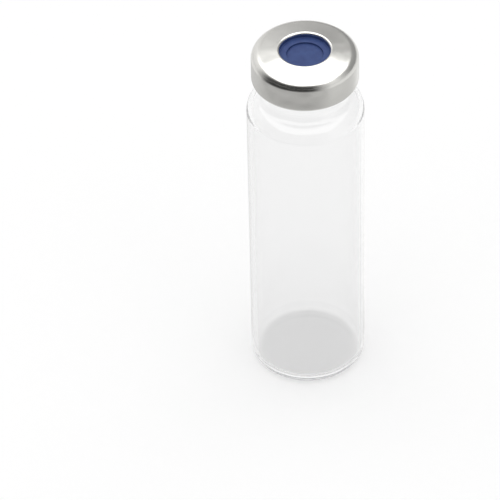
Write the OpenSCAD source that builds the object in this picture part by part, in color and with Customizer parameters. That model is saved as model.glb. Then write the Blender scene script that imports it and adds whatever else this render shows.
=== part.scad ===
// Crimp-top glass sample vial, sealed with a blue septum under an aluminium cap.
// Every piece is round, so each one is a half section turned about the Z axis.
// Z = 0 is the surface that the vial stands on.

/* [Barrel] */
// Height of the glass, from the standing surface to the mouth
vial_h = 75; // [60:0.5:90]
// Outer diameter of the barrel
barrel_d = 23; // [21.8:0.1:25]
// Thickness of the barrel's wall
wall_t = 1; // [0.8:0.05:1.3]
// Height from the start of the shoulder to the mouth
head_h = 11.8; // [11.6:0.1:16]
// Outer radius of the shoulder
shoulder_r = 3.6; // [3.2:0.1:4]

/* [Base] */
// Thickness of the glass in the base
base_t = 1.2; // [0.8:0.05:2]
// Outer radius of the heel, where the barrel turns into the base
heel_r = 2.2; // [1.4:0.1:2.6]
// Inner radius of the heel
heel_inner_r = 1.5; // [1:0.1:2.4]
// Diameter of the dish pressed up into the middle of the base
dish_d = 14; // [10:0.5:15]
// Height of the dish
dish_h = 0.5; // [0.2:0.05:0.9]

/* [Neck] */
// Outer diameter of the neck
neck_d = 16.4; // [15.6:0.1:17]
// Radius of the hollow curve from the shoulder into the neck
neck_curve_r = 2; // [1.5:0.1:2.4]
// Diameter of the bore
bore_d = 12.6; // [11.6:0.1:13]
// Radius of the curve inside, from the shoulder into the bore
throat_r = 3; // [2.4:0.1:3.4]
// Radius of the mouth's inner edge
mouth_r = 0.5; // [0.3:0.05:0.7]

/* [Lip] */
// Outer diameter of the lip
lip_d = 20; // [19.6:0.1:20.6]
// Thickness of the lip
lip_h = 3.7; // [3.2:0.1:4]
// Radius of the lip's upper edge
lip_top_r = 0.8; // [0.4:0.05:1]
// Radius of the lip's lower edge
lip_low_r = 0.5; // [0.4:0.05:0.6]
// Radius of the hollow curve from the lip into the neck
lip_curve_r = 0.8; // [0.4:0.05:0.9]

/* [Septum] */
// Diameter of the septum
septum_d = 19.6; // [19.2:0.1:19.8]
// Thickness of the septum's clamped edge
septum_t = 2.7; // [2.2:0.05:3]
// Diameter of the thin middle that a needle goes through
target_d = 7.1; // [5:0.1:8]
// Height of the step from the thin middle up to the ledge around it
target_step = 0.45; // [0.2:0.05:0.6]
// Height of the wall from the ledge up to the hole of the cap
ledge_wall = 0.65; // [0.3:0.05:0.8]

/* [Cap] */
// Thickness of the aluminium sheet
sheet_t = 0.2; // [0.15:0.01:0.25]
// Gap between the lip and the inside of the skirt
skirt_gap = 0.25; // [0.05:0.01:0.3]
// Diameter of the hole in the top
port_d = 9.9; // [9:0.1:10.4]
// Outer radius of the bend where the top turns down into the hole
port_bend_r = 0.4; // [0.3:0.05:0.55]
// Straight length of sheet below that bend
port_lip = 0.1; // [0.05:0.05:0.25]
// Outer radius of the edge between top and skirt
cap_edge_r = 1.9; // [1:0.05:2.2]
// Slope of the top, which rises towards the hole, in degrees
crown_angle = 5.5; // [2:0.5:8]
// Outer radius of the bend where the skirt turns in under the lip
hem_r = 0.6; // [0.5:0.05:0.65]
// Gap between the hem's edge and the hollow curve under the lip
hem_gap = 0.1; // [0.05:0.05:0.35]

/* [Hidden] */
$fn = 128;
// How far a cutting shape stands past the face that it cuts
past = 1;

barrel_r = barrel_d / 2;
neck_r = neck_d / 2;
bore_r = bore_d / 2;
lip_r = lip_d / 2;
lip_z = vial_h - lip_h;
// The shoulder and the hollow curves beside it are circles that touch:
// each centre lies at the sum of two radii from the shoulder's centre.
shoulder_c = [barrel_r - shoulder_r, vial_h - head_h];
neck_c = touching(shoulder_c, shoulder_r + neck_curve_r, neck_r + neck_curve_r);
throat_c = touching(shoulder_c, shoulder_r - wall_t + throat_r, bore_r + throat_r);
// Radius of the sphere that the dish is part of
dish_r = (pow(dish_d / 2, 2) + pow(dish_h, 2)) / (2 * dish_h);

cap_r = lip_r + skirt_gap + sheet_t;
cap_top_z = vial_h + septum_t + sheet_t;
hem_z = lip_z - sheet_t;
hem_end_r = neck_r + lip_curve_r + hem_gap;
edge_c = [cap_r - cap_edge_r, cap_top_z - cap_edge_r];
port_r = port_d / 2;
target_r = target_d / 2;
// Direction square to the sloping top, and the centre of the bend at the hole, whose
// outside touches that top
crown_normal = [sin(crown_angle), cos(crown_angle)];
port_bend_at = port_r + port_bend_r;
bend_c = [
    port_bend_at,
    crown_z(0, port_bend_at + port_bend_r * crown_normal[0]) - port_bend_r * crown_normal[1]
];
// Heights inside the hole: the end of the sheet, the septum's ledge and its thin middle
port_end_z = bend_c[1] - port_lip;
ledge_z = port_end_z - ledge_wall;
target_z = ledge_z - target_step;

// Centre, at radius r, of a circle whose centre is a distance d from the point c
function touching(c, d, r) = [r, c[1] + sqrt(pow(d, 2) - pow(r - c[0], 2))];

// Where the sloping top leaves the rounded edge, on the surface that lies
// a depth below the outside of the cap
function crown_start(depth) = edge_c + (cap_edge_r - depth) * crown_normal;

// Height of that sloping surface at radius r
function crown_z(depth, r) =
    crown_start(depth)[1] + (crown_start(depth)[0] - r) * tan(crown_angle);

// Half section of a disc of radius r and height h, with both its edges rounded
module rounded_disc(r, h, low_r, top_r) {
    translate([0, low_r]) square([r, h - low_r - top_r]);
    square([r - low_r, h / 2]);
    translate([r - low_r, low_r]) circle(low_r);
    translate([0, h / 2]) square([r - top_r, h / 2]);
    translate([r - top_r, h - top_r]) circle(top_r);
}

// What fills the inside corner at the point p under a ledge: a hollow quarter round
module hollow_corner(p, r) {
    translate(p) difference() {
        translate([-past, -r]) square([r + past, r + past]);
        translate([r, -r]) circle(r);
    }
}

// The area between the axis and the line from the shoulder's centre to the centre c,
// less the circle there, which leaves a curve that flows into the shoulder
module flowing_curve(c, r) {
    difference() {
        polygon([[0, shoulder_c[1]], shoulder_c, c, [0, c[1]]]);
        translate(c) circle(r);
    }
}

// Half section of the glass as if it were solid
module glass_outside() {
    rounded_disc(barrel_r, shoulder_c[1], heel_r, 0);
    translate(shoulder_c) circle(shoulder_r);
    flowing_curve(neck_c, neck_curve_r);
    square([neck_r, vial_h - lip_top_r]);
    translate([0, lip_z]) rounded_disc(lip_r, lip_h, lip_low_r, lip_top_r);
    intersection() {
        hollow_corner([neck_r, lip_z], lip_curve_r);
        square([lip_r, lip_z + past]);
    }
}

// Half section of the hollow inside the glass
module glass_inside() {
    difference() {
        translate([0, base_t])
            rounded_disc(barrel_r - wall_t, shoulder_c[1] - base_t, heel_inner_r, 0);
        // The floor is domed over the dish, at the same thickness
        translate([0, dish_h - dish_r]) circle(dish_r + base_t);
    }
    translate(shoulder_c) circle(shoulder_r - wall_t);
    flowing_curve(throat_c, throat_r);
    translate([0, throat_c[1]]) square([bore_r, vial_h - throat_c[1] + past]);
    translate([0, vial_h - mouth_r]) difference() {
        square([bore_r + mouth_r, mouth_r + past]);
        translate([bore_r + mouth_r, 0]) circle(mouth_r);
    }
}

// Filled half section of the cap, measured a depth below its outside
module cap_fill(depth) {
    r = cap_r - depth;
    translate([0, hem_z + hem_r]) square([r, edge_c[1] - hem_z - hem_r]);
    translate([0, hem_z + depth]) square([cap_r - hem_r, hem_r - depth]);
    translate([cap_r - hem_r, hem_z + hem_r]) circle(hem_r - depth);
    translate(edge_c) circle(cap_edge_r - depth);
    polygon([[0, edge_c[1]], edge_c, crown_start(depth), [0, crown_z(depth, 0)]]);
}

// One blown piece: barrel, dished base, shoulder, neck and lip
module vial_glass() {
    color([0.86, 0.93, 0.95, 0.4])
        rotate_extrude() difference() {
            glass_outside();
            glass_inside();
            translate([0, dish_h - dish_r]) circle(dish_r);
        }
}

// The area between the axis and the sheet's surface at the hole, a depth inside it.
// The surface comes straight up, bends over and meets the sloping top.
module inside_port(depth) {
    high = crown_z(0, 0) + past;
    reach = (high - bend_c[1]) / crown_normal[1];
    difference() {
        polygon([
            [0, 0],
            [port_r + depth, 0],
            [port_r + depth, bend_c[1]],
            bend_c,
            bend_c + reach * crown_normal,
            [0, high]
        ]);
        translate(bend_c) circle(port_bend_r - depth);
    }
}

// Half section of the cap: top, edge, skirt and hem from one sheet
module cap_sheet() {
    difference() {
        cap_fill(0);
        inside_port(0);
        difference() {
            cap_fill(sheet_t);
            inside_port(sheet_t);
        }
        square([bend_c[0], port_end_z]);
        square([hem_end_r, lip_z + past]);
    }
}

// One moulded disc, clamped between the lip and the top of the cap
module septum() {
    color([0.2, 0.27, 0.5])
        rotate_extrude() difference() {
            intersection() {
                cap_fill(sheet_t);
                translate([0, vial_h]) square([septum_d / 2, cap_top_z]);
            }
            // A stepped recess: the cap's hole, a ledge, and the thin middle inside it
            intersection() {
                inside_port(sheet_t);
                translate([0, port_end_z]) square([cap_r, cap_top_z]);
            }
            translate([0, ledge_z]) square([port_r, port_end_z + past - ledge_z]);
            translate([0, target_z]) square([target_r, ledge_z + past - target_z]);
        }
}

// One drawn shell: top with its hole, skirt, and hem turned in under the lip
module crimp_cap() {
    color([0.78, 0.78, 0.77])
        rotate_extrude() cap_sheet();
}

vial_glass();
septum();
crimp_cap();
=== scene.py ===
# %% [markdown]
# # A crimp-top glass sample vial
# The vial is three round pieces: a blown glass body, a moulded rubber septum on its mouth, and
# an aluminium cap crimped over both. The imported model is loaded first. It fixes every size and
# place, and the pieces made here stand in for its plain solids.

# %% Load the frame
from math import acos, asin, atan2, cos, degrees, hypot, pi, radians, sin, sqrt, tan

import bmesh
import bpy
from mathutils import Matrix, Vector


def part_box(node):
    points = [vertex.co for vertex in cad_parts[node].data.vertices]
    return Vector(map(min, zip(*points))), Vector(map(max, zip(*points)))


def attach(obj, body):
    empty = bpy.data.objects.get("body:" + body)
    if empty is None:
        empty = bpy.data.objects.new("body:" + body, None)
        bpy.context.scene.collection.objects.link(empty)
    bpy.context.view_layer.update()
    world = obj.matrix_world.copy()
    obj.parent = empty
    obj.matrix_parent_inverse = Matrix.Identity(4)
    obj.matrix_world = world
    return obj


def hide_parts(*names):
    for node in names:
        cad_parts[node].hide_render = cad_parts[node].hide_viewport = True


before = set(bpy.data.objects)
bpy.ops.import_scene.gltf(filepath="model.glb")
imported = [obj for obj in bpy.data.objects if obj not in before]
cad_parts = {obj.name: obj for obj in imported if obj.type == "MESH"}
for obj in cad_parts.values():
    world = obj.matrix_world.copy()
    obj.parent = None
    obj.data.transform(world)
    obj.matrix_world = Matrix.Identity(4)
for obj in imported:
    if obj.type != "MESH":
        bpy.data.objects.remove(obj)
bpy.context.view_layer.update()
for node in sorted(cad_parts):
    low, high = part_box(node)
    print(node, "is", round((high.x - low.x) * 1000, 2), "mm wide and",
          round((high.z - low.z) * 1000, 2), "mm high")

# %% [markdown]
# ## Helpers for colours and nodes
# Colours are written as sRGB hex values, as a colour picker shows them. A shader wants linear
# light, so one function turns them over. Another adds a node, sets it and links it, which keeps
# each material down to a short list of what it is made of.

# %% Colours and nodes
def linear(hex_colour):
    values = []
    for start in (1, 3, 5):
        share = int(hex_colour[start:start + 2], 16) / 255
        values.append(share / 12.92 if share <= 0.04045 else ((share + 0.055) / 1.055) ** 2.4)
    return (*values, 1.0)


def new_material(name):
    material = bpy.data.materials.new(name)
    material.use_nodes = True
    material.node_tree.nodes.clear()
    return material, material.node_tree


def add(tree, kind, settings=None, **links):
    """Adds a node. Settings name its properties or sockets, and links name its input sockets."""
    node = tree.nodes.new(kind)
    for name, value in (settings or {}).items():
        if name in node.inputs:
            node.inputs[name].default_value = value
        else:
            setattr(node, name, value)
    for name, source in links.items():
        socket = node.inputs[int(name[1:])] if name[0] == "i" and name[1:].isdigit() else None
        tree.links.new(source, socket or node.inputs[name.replace("_", " ")])
    return node


print("white is", linear("#FFFFFF"))

# %% [markdown]
# ## Outlines that are turned on an axis
# Glass blown from a tube, a moulded disc and a drawn cap are all round, so each is a half
# section turned about the vertical axis, as on a lathe. A section is a list of points in
# millimetres. Straight runs get points close to both ends, because a smooth surface blends its
# shading from point to point, and without them a rounded edge would bend the light far into the
# flat beside it.

# %% Section helpers
SEGMENTS = 192
ARC_STEP = 5.0
END_GAP = 0.06
LONGEST_RUN = 2.5
SAME_PLACE = 1e-4
ON_AXIS = 1e-6


def arc(centre, radius, start, end):
    """Points on a circle from one angle to another, in degrees."""
    steps = max(4, round(abs(end - start) / ARC_STEP))
    points = []
    for step in range(steps + 1):
        angle = radians(start + (end - start) * step / steps)
        points.append((centre[0] + radius * cos(angle), centre[1] + radius * sin(angle)))
    return points


def run(start, end):
    """Points between two ends, with one close to each end."""
    length = hypot(end[0] - start[0], end[1] - start[1])
    gap = min(END_GAP, length / 4)
    middle = max(1, round((length - 2 * gap) / LONGEST_RUN))
    places = [gap + (length - 2 * gap) * step / middle for step in range(middle + 1)]
    return [(start[0] + (end[0] - start[0]) * place / length,
             start[1] + (end[1] - start[1]) * place / length) for place in places]


def joined(*parts):
    """One section from arcs and single points, with runs filled in between them."""
    section = []
    for part in parts:
        points = part if isinstance(part, list) else [part]
        if not section:
            section += points
            continue
        gap = hypot(points[0][0] - section[-1][0], points[0][1] - section[-1][1])
        if gap > SAME_PLACE:
            section += run(section[-1], points[0]) + points
        else:
            section += points[1:]
    return section


def turned(name, section, ring=False):
    """A closed mesh made by turning a section. A ring's section closes on itself."""
    mesh = bmesh.new()
    rows = []
    for r, z in section:
        if r < ON_AXIS:
            rows.append([mesh.verts.new((0, 0, z / 1000))])
            continue
        row = []
        for step in range(SEGMENTS):
            turn = 2 * pi * step / SEGMENTS
            row.append(mesh.verts.new((r / 1000 * cos(turn), r / 1000 * sin(turn), z / 1000)))
        rows.append(row)
    pairs = list(zip(rows, rows[1:]))
    if ring:
        pairs.append((rows[-1], rows[0]))
    for lower, upper in pairs:
        for step in range(SEGMENTS):
            after = (step + 1) % SEGMENTS
            if len(lower) == 1:
                mesh.faces.new((lower[0], upper[after], upper[step]))
            elif len(upper) == 1:
                mesh.faces.new((lower[step], lower[after], upper[0]))
            else:
                mesh.faces.new((lower[step], lower[after], upper[after], upper[step]))
    bmesh.ops.recalc_face_normals(mesh, faces=mesh.faces)
    for face in mesh.faces:
        face.smooth = True
    data = bpy.data.meshes.new(name)
    mesh.to_mesh(data)
    mesh.free()
    piece = bpy.data.objects.new(name, data)
    bpy.context.scene.collection.objects.link(piece)
    print(name, "has", len(data.polygons), "faces")
    return piece


def direction(start, end):
    """The angle from one point to another, in degrees."""
    return degrees(atan2(end[1] - start[1], end[0] - start[0]))


# %% [markdown]
# ## The glass body
# A vial like this starts as a glass tube. Its open end is heated and rolled into a shoulder,
# a neck and a thick flat lip, and its other end is melted shut and pressed up in the middle, so
# that it stands on a ring. The shoulder and the neck are arcs that touch, so the wall flows from
# one to the other with no edge. One section goes up the outside, over the lip, and down the
# inside, because light bends at both faces and a single skin would look like a soap bubble.

# %% Glass section
BARREL_R = 11.5
WALL = 1.0
GLASS_TOP = 75.0
HEEL_R = 2.2
INNER_HEEL_R = 1.5
BASE_THICKNESS = 1.2
DISH_R = 7.0
DISH_RISE = 0.5
SHOULDER_R = 3.6
NECK_R = 8.2
NECK_CURVE_R = 2.0
BORE_R = 6.3
THROAT_R = 3.0
MOUTH_EDGE_R = 0.5
LIP_R = 10.0
LIP_THICKNESS = 3.7
LIP_TOP_EDGE_R = 0.8
LIP_LOW_EDGE_R = 0.5
LIP_CURVE_R = 0.8
HEAD_HEIGHT = 11.8

shoulder = (BARREL_R - SHOULDER_R, GLASS_TOP - HEAD_HEIGHT)


def touching(reach, r):
    """Centre of a circle at radius r that touches the shoulder's circle."""
    return (r, shoulder[1] + sqrt(reach ** 2 - (r - shoulder[0]) ** 2))


neck = touching(SHOULDER_R + NECK_CURVE_R, NECK_R + NECK_CURVE_R)
throat = touching(SHOULDER_R - WALL + THROAT_R, BORE_R + THROAT_R)
dish_sphere = (DISH_R ** 2 + DISH_RISE ** 2) / (2 * DISH_RISE)
lip_under = GLASS_TOP - LIP_THICKNESS


def dish(radius, low):
    """The domed middle of the base, from the axis out to where it meets the height low."""
    centre = (0, DISH_RISE - dish_sphere)
    edge = degrees(asin((low - centre[1]) / radius))
    return arc(centre, radius, 90, edge)


glass_section = joined(
    dish(dish_sphere, 0),
    arc((BARREL_R - HEEL_R, HEEL_R), HEEL_R, -90, 0),
    arc(shoulder, SHOULDER_R, 0, direction(shoulder, neck)),
    arc(neck, NECK_CURVE_R, direction(neck, shoulder) + 360, 180),
    arc((NECK_R + LIP_CURVE_R, lip_under - LIP_CURVE_R), LIP_CURVE_R, 180, 90),
    arc((LIP_R - LIP_LOW_EDGE_R, lip_under + LIP_LOW_EDGE_R), LIP_LOW_EDGE_R, -90, 0),
    arc((LIP_R - LIP_TOP_EDGE_R, GLASS_TOP - LIP_TOP_EDGE_R), LIP_TOP_EDGE_R, 0, 90),
    arc((BORE_R + MOUTH_EDGE_R, GLASS_TOP - MOUTH_EDGE_R), MOUTH_EDGE_R, 90, 180),
    arc(throat, THROAT_R, 180, direction(throat, shoulder) + 360),
    arc(shoulder, SHOULDER_R - WALL, direction(shoulder, throat), 0),
    arc((BARREL_R - WALL - INNER_HEEL_R, BASE_THICKNESS + INNER_HEEL_R), INNER_HEEL_R, 0, -90),
    dish(dish_sphere + BASE_THICKNESS, BASE_THICKNESS)[::-1],
)
glass = turned("vial_glass_clear", glass_section)
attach(glass, "root")
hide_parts("vial_glass")

# %% [markdown]
# ## Where rubber and metal meet
# The septum fills the cap from below, so both follow the same lines: a top that rises gently
# towards its hole, a wide rounded edge, and a tight bend where the sheet turns down into the
# hole. The lines are worked out once here, and each piece uses them at its own depth.

# %% Lines of the closure
SHEET = 0.2
SEPTUM_THICKNESS = 2.7
CAP_R = 10.45
CAP_EDGE_R = 1.9
CROWN_ANGLE = 5.5
PORT_R = 4.95
PORT_BEND_R = 0.4
PORT_STRAIGHT = 0.1

edge_centre = (CAP_R - CAP_EDGE_R, GLASS_TOP + SEPTUM_THICKNESS + SHEET - CAP_EDGE_R)
slope = 90 - CROWN_ANGLE
across = (cos(radians(slope)), sin(radians(slope)))
bend_r = PORT_R + PORT_BEND_R
crown_start = (edge_centre[0] + CAP_EDGE_R * across[0], edge_centre[1] + CAP_EDGE_R * across[1])
touch_r = bend_r + PORT_BEND_R * across[0]
touch_z = crown_start[1] + (crown_start[0] - touch_r) * tan(radians(CROWN_ANGLE))
bend_centre = (bend_r, touch_z - PORT_BEND_R * across[1])
port_end = bend_centre[1] - PORT_STRAIGHT
print("the cap's highest line is at", round(bend_centre[1] + PORT_BEND_R, 2), "mm")

# %% [markdown]
# ## The septum
# The septum is a rubber disc that closes the mouth. Its clamped edge fills the cap, and inside
# the hole it steps down twice: a wall to a ledge, and a smaller step to the thin middle that a
# needle goes through. Moulded edges are never quite sharp, so each step has a small round. The
# disc stays a hundredth of a millimetre clear of glass and metal, because two faces in one place
# would flicker.

# %% Septum section
CLEAR = 0.012
SEPTUM_R = 9.8
LOW_EDGE_R = 0.3
LEDGE_WALL = 0.65
TARGET_R = 3.55
TARGET_STEP = 0.45
STEP_EDGE_R = 0.1

septum_low = GLASS_TOP + CLEAR
ledge = port_end - LEDGE_WALL
target = ledge - TARGET_STEP
cap_fit = CAP_EDGE_R - SHEET - CLEAR
bend_fit = PORT_BEND_R - SHEET - CLEAR
widest = degrees(acos((SEPTUM_R - edge_centre[0]) / cap_fit))
septum_section = joined(
    (0, septum_low),
    arc((SEPTUM_R - LOW_EDGE_R, septum_low + LOW_EDGE_R), LOW_EDGE_R, -90, 0),
    arc(edge_centre, cap_fit, widest, slope),
    arc(bend_centre, bend_fit, slope, 180),
    (bend_centre[0] - bend_fit, port_end - CLEAR),
    (PORT_R, port_end - CLEAR),
    arc((PORT_R - STEP_EDGE_R, ledge + STEP_EDGE_R), STEP_EDGE_R, 0, -90),
    arc((TARGET_R + STEP_EDGE_R, ledge - STEP_EDGE_R), STEP_EDGE_R, 90, 180),
    arc((TARGET_R - STEP_EDGE_R, target + STEP_EDGE_R), STEP_EDGE_R, 0, -90),
    (0, target),
)
septum = turned("septum_blue", septum_section)
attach(septum, "root")
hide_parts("septum")

# %% [markdown]
# ## The crimped cap
# The cap is drawn from thin sheet. From the hole it runs over the top and the rounded edge, down
# the straight skirt, and into the hem that the crimping jaws turn in under the lip. Its section
# is one closed strip, 0.2 mm thick. The sheet's cut ends get a small round, because even a sharp
# edge catches a line of light.

# %% Cap section
HEM_R = 0.6
HEM_REACH = 0.9
CUT_EDGE_R = 0.07

hem_z = lip_under - SHEET
hem_centre = (CAP_R - HEM_R, hem_z + HEM_R)
hem_end = LIP_R - HEM_REACH + CUT_EDGE_R
cap_section = joined(
    arc((PORT_R + CUT_EDGE_R, port_end + CUT_EDGE_R), CUT_EDGE_R, 270, 180),
    arc(bend_centre, PORT_BEND_R, 180, slope),
    arc(edge_centre, CAP_EDGE_R, slope, 0),
    arc(hem_centre, HEM_R, 0, -90),
    arc((hem_end, hem_z + CUT_EDGE_R), CUT_EDGE_R, -90, -180),
    arc((hem_end, lip_under - CLEAR - CUT_EDGE_R), CUT_EDGE_R, 180, 90),
    arc(hem_centre, HEM_R - SHEET, -90, 0),
    arc(edge_centre, CAP_EDGE_R - SHEET, 0, slope),
    arc(bend_centre, PORT_BEND_R - SHEET, slope, 180),
    arc((PORT_R + SHEET - CUT_EDGE_R, port_end + CUT_EDGE_R), CUT_EDGE_R, 0, -90),
)
cap = turned("crimp_cap_aluminium", cap_section, ring=True)
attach(cap, "root")
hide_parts("crimp_cap")

# %% [markdown]
# ## Borosilicate glass
# Laboratory glass is clear borosilicate with an IOR of about 1.47. Drawing the tube leaves a
# very faint waviness along it, which only shows where it bends a reflection. Lamps find no way
# through real refraction, so a ray that looks for a lamp passes straight through instead, which
# is what the mix with a transparent shader does. Each face that it crosses dims it, and that gives
# the vial its soft shadow.

# %% Glass material
glass_look, tree = new_material("borosilicate_glass_drawn")
WAVE_ROUND = 4.0
WAVE_LENGTH = 30.0
place = add(tree, "ShaderNodeTexCoord")
stretch = add(tree, "ShaderNodeMapping",
              {"Scale": (1000 / WAVE_ROUND, 1000 / WAVE_ROUND, 1000 / WAVE_LENGTH)},
              Vector=place.outputs["Object"])
waves = add(tree, "ShaderNodeTexNoise", {"Scale": 1.0, "Detail": 1.0},
            Vector=stretch.outputs["Vector"])
bump = add(tree, "ShaderNodeBump", {"Strength": 0.25, "Distance": 0.00003},
           Height=waves.outputs["Fac"])
clear_glass = add(tree, "ShaderNodeBsdfPrincipled",
                  {"Base Color": linear("#FAFAFA"), "Roughness": 0.0, "IOR": 1.473,
                   "Transmission Weight": 1.0},
                  Normal=bump.outputs["Normal"])
see_through = add(tree, "ShaderNodeBsdfTransparent", {"Color": linear("#B4B4B4")})
path = add(tree, "ShaderNodeLightPath")
lamp_rays = add(tree, "ShaderNodeMixShader", None, Fac=path.outputs["Is Shadow Ray"],
                i1=clear_glass.outputs["BSDF"], i2=see_through.outputs["BSDF"])
add(tree, "ShaderNodeOutputMaterial", None, Surface=lamp_rays.outputs["Shader"])
glass.data.materials.append(glass_look)

# %% [markdown]
# ## Satin aluminium
# Cap sheet is rolled aluminium with a satin finish. Reflections in it are soft, with a fine
# rolling grain, and the pressing and crimping leave the sheet slightly uneven over a few
# millimetres, so the edges of a reflection wander. Both come from noise, one at the size of the
# grain, and one at the size of the dents.

# %% Aluminium material
cap_look, tree = new_material("aluminium_satin_rolled")
GRAIN = 0.12
DENT = 4.5
place = add(tree, "ShaderNodeTexCoord")
dents = add(tree, "ShaderNodeTexNoise", {"Scale": 1000 / DENT, "Detail": 1.0},
            Vector=place.outputs["Object"])
grain = add(tree, "ShaderNodeTexNoise", {"Scale": 1000 / GRAIN, "Detail": 2.0},
            Vector=place.outputs["Object"])
uneven = add(tree, "ShaderNodeBump", {"Strength": 1.0, "Distance": 0.00011},
             Height=dents.outputs["Fac"])
fine = add(tree, "ShaderNodeBump", {"Strength": 0.5, "Distance": 0.000002},
           Height=grain.outputs["Fac"], Normal=uneven.outputs["Normal"])
rough = add(tree, "ShaderNodeMapRange", {"To Min": 0.19, "To Max": 0.27},
            Value=grain.outputs["Fac"])
satin = add(tree, "ShaderNodeBsdfPrincipled",
            {"Base Color": linear("#DAD9D5"), "Metallic": 1.0},
            Roughness=rough.outputs["Result"], Normal=fine.outputs["Normal"])
add(tree, "ShaderNodeOutputMaterial", None, Surface=satin.outputs["BSDF"])
cap.data.materials.append(cap_look)

# %% [markdown]
# ## Moulded blue rubber
# The septum is moulded and has a dull satin skin. Its blue is even, with a slight mottling from
# the filler and a fine texture from the mould.

# %% Rubber material
septum_look, tree = new_material("silicone_rubber_moulded_blue")
MOTTLE = 1.4
MOULD_TEXTURE = 0.15
place = add(tree, "ShaderNodeTexCoord")
mottle = add(tree, "ShaderNodeTexNoise", {"Scale": 1000 / MOTTLE, "Detail": 3.0},
             Vector=place.outputs["Object"])
blues = add(tree, "ShaderNodeValToRGB", None, Fac=mottle.outputs["Fac"])
blues.color_ramp.elements[0].position = 0.3
blues.color_ramp.elements[0].color = linear("#283A6C")
blues.color_ramp.elements[1].position = 0.7
blues.color_ramp.elements[1].color = linear("#314678")
skin = add(tree, "ShaderNodeTexNoise", {"Scale": 1000 / MOULD_TEXTURE, "Detail": 1.0},
           Vector=place.outputs["Object"])
skin_bump = add(tree, "ShaderNodeBump", {"Strength": 0.4, "Distance": 0.00001},
                Height=skin.outputs["Fac"])
rubber = add(tree, "ShaderNodeBsdfPrincipled", {"Roughness": 0.5, "IOR": 1.42},
             **{"Base_Color": blues.outputs["Color"], "Normal": skin_bump.outputs["Normal"]})
add(tree, "ShaderNodeOutputMaterial", None, Surface=rubber.outputs["BSDF"])
septum.data.materials.append(septum_look)

# %% [markdown]
# ## Floor and light
# A white table runs on into a white room. Diffuse light comes from the whole room, as in a light
# tent, and from a wide soft box overhead. The floor is half lit and half white in itself, so its
# shadow stays faint.

# %% Floor
def seen_directly(tree):
    """One for a ray that comes from the camera, a reflection or glass, and nought for the rest."""
    path = add(tree, "ShaderNodeLightPath")
    either = add(tree, "ShaderNodeMath", {"operation": "MAXIMUM"},
                 i0=path.outputs["Is Camera Ray"], i1=path.outputs["Is Glossy Ray"])
    return add(tree, "ShaderNodeMath", {"operation": "MAXIMUM"},
               i0=either.outputs["Value"], i1=path.outputs["Is Transmission Ray"])


floor_look, tree = new_material("table_white_matt")
PLAIN_WHITE = 0.5
# Real paper is finer than this, but so fine a grain would not show.
PAPER_TOOTH = 1.11
place = add(tree, "ShaderNodeTexCoord")
paper = add(tree, "ShaderNodeTexNoise", {"Scale": 1000 / PAPER_TOOTH},
            Vector=place.outputs["Object"])
tone = add(tree, "ShaderNodeValToRGB", None, Fac=paper.outputs["Fac"])
tone.color_ramp.elements[0].color = linear("#FDFDFD")
tone.color_ramp.elements[1].color = linear("#FFFFFF")
matt = add(tree, "ShaderNodeBsdfDiffuse", None, Color=tone.outputs["Color"])
white = add(tree, "ShaderNodeEmission", {"Color": (1, 1, 1, 1), "Strength": 1.0})
share = add(tree, "ShaderNodeMapRange", {"To Min": 0.0, "To Max": PLAIN_WHITE},
            Value=seen_directly(tree).outputs["Value"])
both = add(tree, "ShaderNodeMixShader", None, Fac=share.outputs["Result"],
           i1=matt.outputs["BSDF"], i2=white.outputs["Emission"])
add(tree, "ShaderNodeOutputMaterial", None, Surface=both.outputs["Shader"])


def stage_piece(name, corners, faces, material):
    data = bpy.data.meshes.new(name)
    data.from_pydata(corners, [], faces)
    data.materials.append(material)
    piece = bpy.data.objects.new(name, data)
    bpy.context.scene.collection.objects.link(piece)
    return piece


FLOOR = 6.0
FLOOR_DROP = 0.00002
stage_piece("floor", [(-FLOOR, -FLOOR, -FLOOR_DROP), (FLOOR, -FLOOR, -FLOOR_DROP),
                      (FLOOR, FLOOR, -FLOOR_DROP), (-FLOOR, FLOOR, -FLOOR_DROP)],
            [(0, 1, 2, 3)], floor_look)
print("the floor is", 2 * FLOOR, "m wide")

# %% World
world = bpy.data.worlds.new("white_room")
bpy.context.scene.world = world
world.use_nodes = True
tree = world.node_tree
tree.nodes.clear()
ROOM_FILL = 0.24
strength = add(tree, "ShaderNodeMapRange", {"To Min": ROOM_FILL, "To Max": 1.0},
               Value=seen_directly(tree).outputs["Value"])
room = add(tree, "ShaderNodeBackground", {"Color": (1, 1, 1, 1)},
           Strength=strength.outputs["Result"])
add(tree, "ShaderNodeOutputWorld", None, Surface=room.outputs["Background"])
print("the room lights things at", ROOM_FILL, "of white")

# %% [markdown]
# ## A soft box and papers
# Polished metal and clear glass only show what stands round them. One wide soft box hangs
# overhead. Black paper stands and lies in front, and grey paper behind and on the table, so that
# the edges read well. Each paper has one plain tone, lights nothing, and fades out at its sides,
# as a soft shadow line does. It shows in reflections only: seen through the glass it would be a
# grey block with a hard edge, which no clear vial shows in a white room. On the table the black
# paper lies over the edge of the pale one and both fade there, because the glass would mirror a
# hard line as a step in its outline. Directions are taken from the cap: azimuth 0 is straight
# behind the vial, and 180 is towards the camera.

# %% Papers
CAP_HEIGHT = 0.076
TENT_R = 1.2
PAPER_LIFT = 0.0004
FEATHER = 35
TOP_FEATHER = 6
TABLE_FEATHER = 8
TABLE_LINE = -34
# How far round each paper goes, and how high or low, in degrees
FRONT_TURN = (130, 292)
FRONT_TOP = 40
BEHIND_TURN = (-24, 115)
BEHIND_TOP = 49
TABLE_TURN = (40, 390)
TABLE_NEAR = -80
TABLE_FAR = -1
ROWS = 24
TURNS = 24
BLACK = 0.04
GREY = 0.36
PALE_GREY = 0.68


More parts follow.
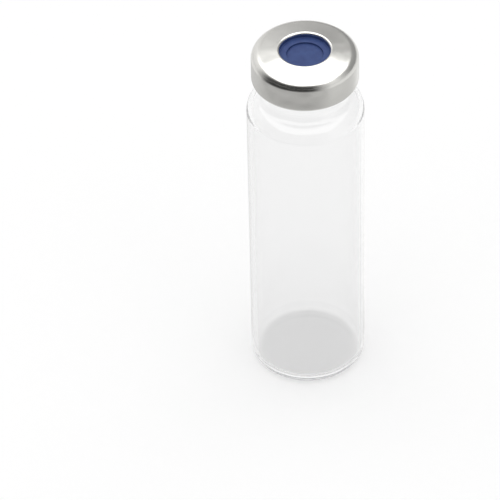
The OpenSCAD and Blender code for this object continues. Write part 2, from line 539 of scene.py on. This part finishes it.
def spot(azimuth, elevation):
    """The place seen that way from the cap: on the tent's wall, or on the table if it is low."""
    turn, tilt = radians(azimuth), radians(elevation)
    reach = TENT_R if elevation >= 0 else CAP_HEIGHT / tan(-tilt)
    height = CAP_HEIGHT + TENT_R * tan(tilt) if elevation >= 0 else PAPER_LIFT
    return (sin(turn) * reach, cos(turn) * reach, height)


def paper_look(name, tone):
    look, tree = new_material(name)
    solid = add(tree, "ShaderNodeAttribute", {"attribute_name": "solid"})
    clear = add(tree, "ShaderNodeBsdfTransparent")
    glow = add(tree, "ShaderNodeEmission", {"Color": (tone, tone, tone, 1), "Strength": 1.0})
    both = add(tree, "ShaderNodeMixShader", None, Fac=solid.outputs["Fac"],
               i1=clear.outputs["BSDF"], i2=glow.outputs["Emission"])
    add(tree, "ShaderNodeOutputMaterial", None, Surface=both.outputs["Shader"])
    return look


def sheet(name, turn, tilt, look, fade):
    """A bent sheet between two azimuths and two elevations. Its sides fade out, and fade gives
    how many degrees its lower and its upper edge fade over. An edge with none stays sharp."""
    corners, solids, faces = [], [], []
    for row in range(ROWS + 1):
        elevation = tilt[0] + (tilt[1] - tilt[0]) * row / ROWS
        for step in range(TURNS + 1):
            azimuth = turn[0] + (turn[1] - turn[0]) * step / TURNS
            corners.append(spot(azimuth, elevation))
            solid = min(1, (azimuth - turn[0]) / FEATHER, (turn[1] - azimuth) / FEATHER)
            for inside, width in zip((elevation - tilt[0], tilt[1] - elevation), fade):
                if width:
                    solid = min(solid, inside / width)
            solids.append(solid)
    for row in range(ROWS):
        for step in range(TURNS):
            first = row * (TURNS + 1) + step
            faces.append((first, first + 1, first + TURNS + 2, first + TURNS + 1))
    piece = stage_piece(name, corners, faces, look)
    values = piece.data.attributes.new("solid", "FLOAT", "POINT")
    for value, solid in zip(values.data, solids):
        value.value = solid
    piece.visible_camera = False
    piece.visible_diffuse = False
    piece.visible_shadow = False
    piece.visible_transmission = False
    return piece


black_paper = paper_look("paper_black", BLACK)
grey_paper = paper_look("paper_grey", GREY)
pale_paper = paper_look("paper_pale_grey", PALE_GREY)
sheet("flag_front", FRONT_TURN, (0, FRONT_TOP), black_paper, (0, TOP_FEATHER))
fade_start = TABLE_LINE - TABLE_FEATHER / 2
fade_end = TABLE_LINE + TABLE_FEATHER / 2
flag_table = sheet("flag_table", FRONT_TURN, (fade_start, TABLE_FAR), black_paper,
                   (TABLE_FEATHER, 0))
flag_table.location.z = PAPER_LIFT
sheet("grey_behind", BEHIND_TURN, (0, BEHIND_TOP), grey_paper, (0, TOP_FEATHER))
sheet("grey_table", TABLE_TURN, (TABLE_NEAR, fade_end), pale_paper, (0, TABLE_FEATHER))
print("papers of", BLACK, GREY, "and", PALE_GREY, "of white")

# %% Soft box
BOX_SIZE = 2.4
BOX_HEIGHT = 1.2
BOX_BRIGHTNESS = 1.4
lamp_data = bpy.data.lights.new("soft_box", "AREA")
lamp_data.shape = "SQUARE"
lamp_data.size = BOX_SIZE
lamp_data.energy = BOX_BRIGHTNESS * pi * BOX_SIZE ** 2
lamp = bpy.data.objects.new("soft_box", lamp_data)
bpy.context.scene.collection.objects.link(lamp)
lamp.location = (0, 0, BOX_HEIGHT)
# A lamp adds to the room behind it and does not hide it. A ray that leaves the glass towards it
# would find both, and show it too bright, so such a ray sees the room alone.
lamp.visible_transmission = False
print("the soft box gives", round(lamp_data.energy, 1), "W")

# %% [markdown]
# ## Camera
# A long lens from 0.86 m away looks down at 41.8 degrees, so the sides of the vial stay almost
# parallel. The camera's place follows from where the middle of the base lies in the frame.

# %% Camera
FRAME_PIXELS = 500
FOCAL_PIXELS = 4187.7
SENSOR = 36
DISTANCE = 857
PITCH = radians(41.802)
ROLL = radians(-1.371)
BASE_RIGHT = 58.28
BASE_DOWN = 96.07

ahead = Vector((0, cos(PITCH), -sin(PITCH)))
right = Vector((1, 0, 0))
up = right.cross(ahead)
rolled_right = right * cos(ROLL) + up * sin(ROLL)
rolled_up = up * cos(ROLL) - right * sin(ROLL)
to_base = (rolled_right * (BASE_RIGHT * DISTANCE / FOCAL_PIXELS)
           - rolled_up * (BASE_DOWN * DISTANCE / FOCAL_PIXELS) + ahead * DISTANCE) / 1000
camera_data = bpy.data.cameras.new("camera")
camera_data.sensor_width = SENSOR
camera_data.lens = FOCAL_PIXELS / FRAME_PIXELS * SENSOR
camera = bpy.data.objects.new("camera", camera_data)
bpy.context.scene.collection.objects.link(camera)
axes = Matrix((rolled_right, rolled_up, -ahead)).transposed().to_4x4()
camera.matrix_world = Matrix.Translation(-to_base) @ axes
bpy.context.scene.camera = camera
bpy.context.scene.view_settings.view_transform = "Standard"
print("camera at", [round(value * 1000) for value in camera.location], "mm")

# %% [markdown]
# ## Light inside the glass
# Light that enters the wall near its outline can run on inside it and be turned back at each
# face many times. A path that is cut short adds no light, so the limits are set high.

# %% Light paths
cycles = bpy.context.scene.cycles
PATHS = 256
cycles.max_bounces = PATHS
cycles.glossy_bounces = PATHS
cycles.transmission_bounces = PATHS
cycles.transparent_max_bounces = PATHS
print("light is followed through", PATHS, "turns")
